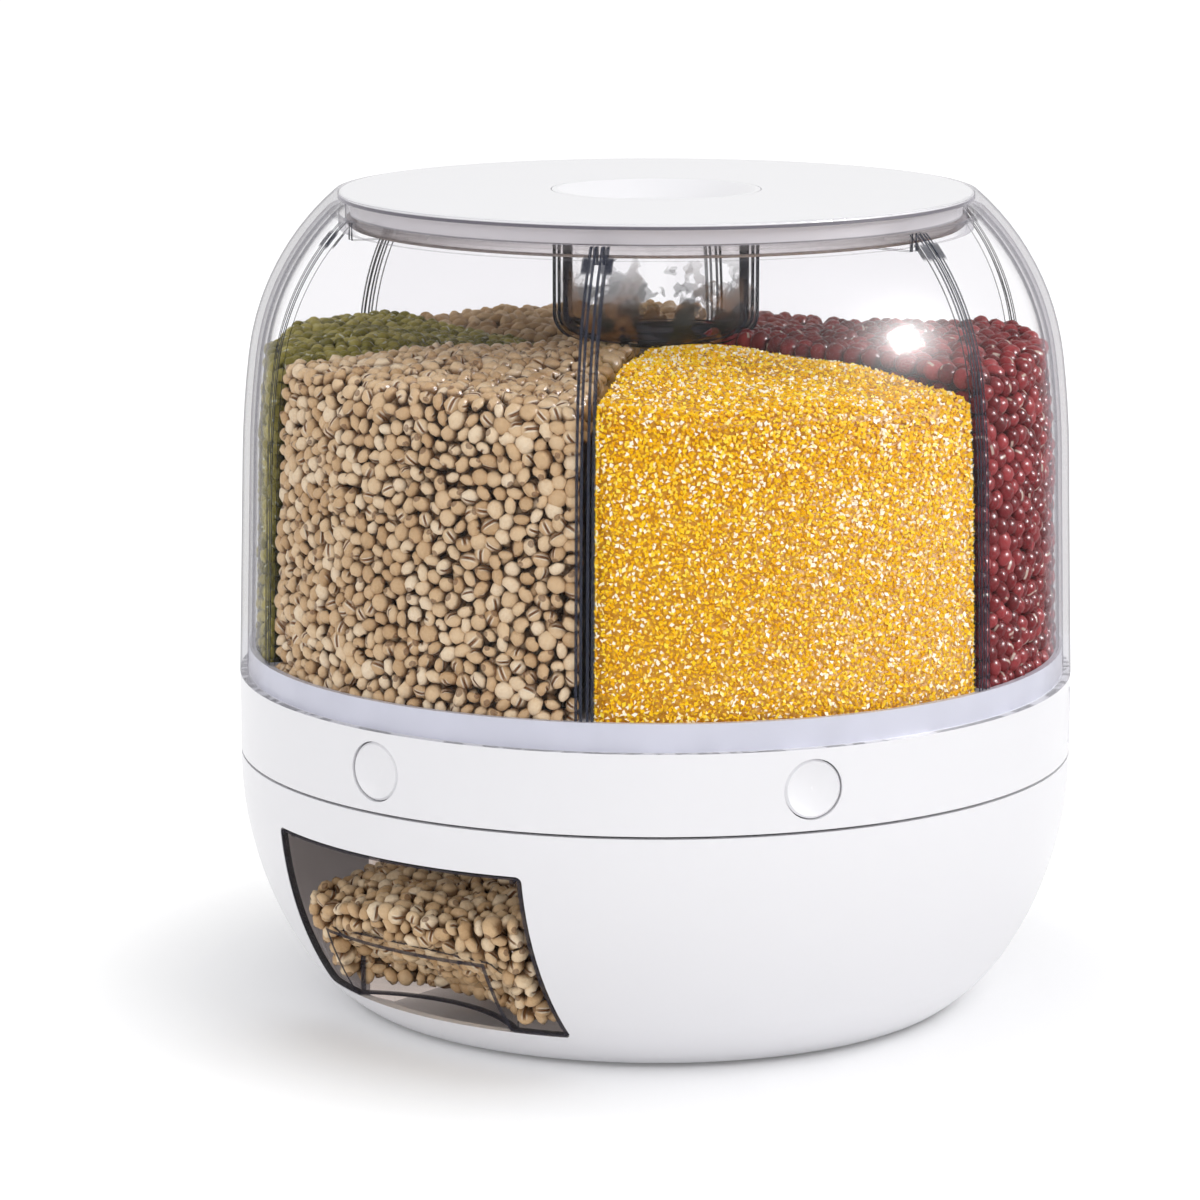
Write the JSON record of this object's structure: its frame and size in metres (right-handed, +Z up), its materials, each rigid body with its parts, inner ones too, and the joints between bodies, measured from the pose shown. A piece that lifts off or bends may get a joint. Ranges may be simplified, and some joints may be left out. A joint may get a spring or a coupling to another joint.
{
  "type": "rotating grain dispenser",
  "caption": "Round countertop grain dispenser: clear domed bins turn on a white base, a push button over the drawer opens a gate, and grain falls into a pull-out tray.",
  "frame": {"origin": "on the table under the middle of the base, at the underside of the feet", "axes": "+Z up along the turning axis, -Y towards the tray at the front, +X to the right seen from the front"},
  "size_m": [0.28, 0.28, 0.2715],
  "materials": {
    "white_plastic": "smooth glossy white",
    "clear_plastic": "clear, polished",
    "smoky_plastic": "clear with a smoky tint, polished",
    "seal_silicone": "translucent grey silicone, satin",
    "deck_plastic": "lavender grey, satin",
    "purple_plastic": "dark purple, glossy",
    "gate_plastic": "natural white, matte",
    "bay_plastic": "light grey, matte",
    "bearing_plastic": "natural, matte",
    "spring_steel": "drawn wire",
    "screw_steel": "zinc plated",
    "ball_steel": "polished",
    "foot_rubber": "matte"
  },
  "bodies": {
    "base": {"base_bowl": "white_plastic", "base_deck": "gate_plastic", "tray_bay": "bay_plastic", "base_screws": "screw_steel", "spindle_bolt": "screw_steel", "spindle_washer": "screw_steel", "spindle_nut": "screw_steel", "rubber_feet": "foot_rubber"},
    "rotor": {"outer_shell": "clear_plastic", "grain_bin_1": "clear_plastic", "grain_bin_2": "clear_plastic", "grain_bin_3": "clear_plastic", "grain_bin_4": "clear_plastic", "grain_bin_5": "clear_plastic", "grain_bin_6": "clear_plastic", "center_post": "clear_plastic", "grain_deck": "deck_plastic", "chute_plate": "gate_plastic", "button_ring": "white_plastic", "button_sleeve_1": "purple_plastic", "button_sleeve_2": "purple_plastic", "button_sleeve_3": "purple_plastic", "button_sleeve_4": "purple_plastic", "button_sleeve_5": "purple_plastic", "button_sleeve_6": "purple_plastic", "rotor_bush": "bearing_plastic", "rotor_screws": "screw_steel", "return_spring_1": "spring_steel", "return_spring_2": "spring_steel", "return_spring_3": "spring_steel", "return_spring_4": "spring_steel", "return_spring_5": "spring_steel", "return_spring_6": "spring_steel"},
    "ball_ring": {"ball_cage": "bearing_plastic", "bearing_balls": "ball_steel"},
    "lid": {"lid_cover": "white_plastic", "lid_seal": "seal_silicone", "lid_dish": "white_plastic", "center_cup": "clear_plastic"},
    "tray": {"tray_box": "clear_plastic", "tray_front": "smoky_plastic"},
    "push_1": {"button_1": "white_plastic", "slide_gate_1": "gate_plastic"},
    "push_2": {"button_2": "white_plastic", "slide_gate_2": "gate_plastic"},
    "push_3": {"button_3": "white_plastic", "slide_gate_3": "gate_plastic"},
    "push_4": {"button_4": "white_plastic", "slide_gate_4": "gate_plastic"},
    "push_5": {"button_5": "white_plastic", "slide_gate_5": "gate_plastic"},
    "push_6": {"button_6": "white_plastic", "slide_gate_6": "gate_plastic"}
  },
  "joints": [
    {"name": "rotor_spin", "type": "hinge", "parent": "base", "child": "rotor", "pos_m": [0, 0, 0.0849], "axis": [0, 0, 1], "continuous": true},
    {"name": "ball_ring_spin", "type": "hinge", "parent": "base", "child": "ball_ring", "pos_m": [0, 0, 0.0808], "axis": [0, 0, 1], "continuous": true},
    {"name": "tray_slide", "type": "slide", "parent": "base", "child": "tray", "axis": [0, -1, 0], "range_m": [0, 0.09]},
    {"name": "lid_lift", "type": "slide", "parent": "rotor", "child": "lid", "axis": [0, 0, 1], "range_m": [0, 0.07]},
    {"name": "button_1_press", "type": "slide", "parent": "rotor", "child": "push_1", "axis": [0, 1, 0], "range_m": [0, 0.013], "stiffness_N_per_m": 300, "springref_m": -0.003, "deforming": ["return_spring_1"]},
    {"name": "button_2_press", "type": "slide", "parent": "rotor", "child": "push_2", "axis": [-0.866, 0.5, 0], "range_m": [0, 0.013], "stiffness_N_per_m": 300, "springref_m": -0.003, "deforming": ["return_spring_2"]},
    {"name": "button_3_press", "type": "slide", "parent": "rotor", "child": "push_3", "axis": [-0.866, -0.5, 0], "range_m": [0, 0.013], "stiffness_N_per_m": 300, "springref_m": -0.003, "deforming": ["return_spring_3"]},
    {"name": "button_4_press", "type": "slide", "parent": "rotor", "child": "push_4", "axis": [0, -1, 0], "range_m": [0, 0.013], "stiffness_N_per_m": 300, "springref_m": -0.003, "deforming": ["return_spring_4"]},
    {"name": "button_5_press", "type": "slide", "parent": "rotor", "child": "push_5", "axis": [0.866, -0.5, 0], "range_m": [0, 0.013], "stiffness_N_per_m": 300, "springref_m": -0.003, "deforming": ["return_spring_5"]},
    {"name": "button_6_press", "type": "slide", "parent": "rotor", "child": "push_6", "axis": [0.866, 0.5, 0], "range_m": [0, 0.013], "stiffness_N_per_m": 300, "springref_m": -0.003, "deforming": ["return_spring_6"]}
  ],
  "couplings": [
    {"joint": "ball_ring_spin", "follows": "rotor_spin", "ratio": 0.5}
  ]
}
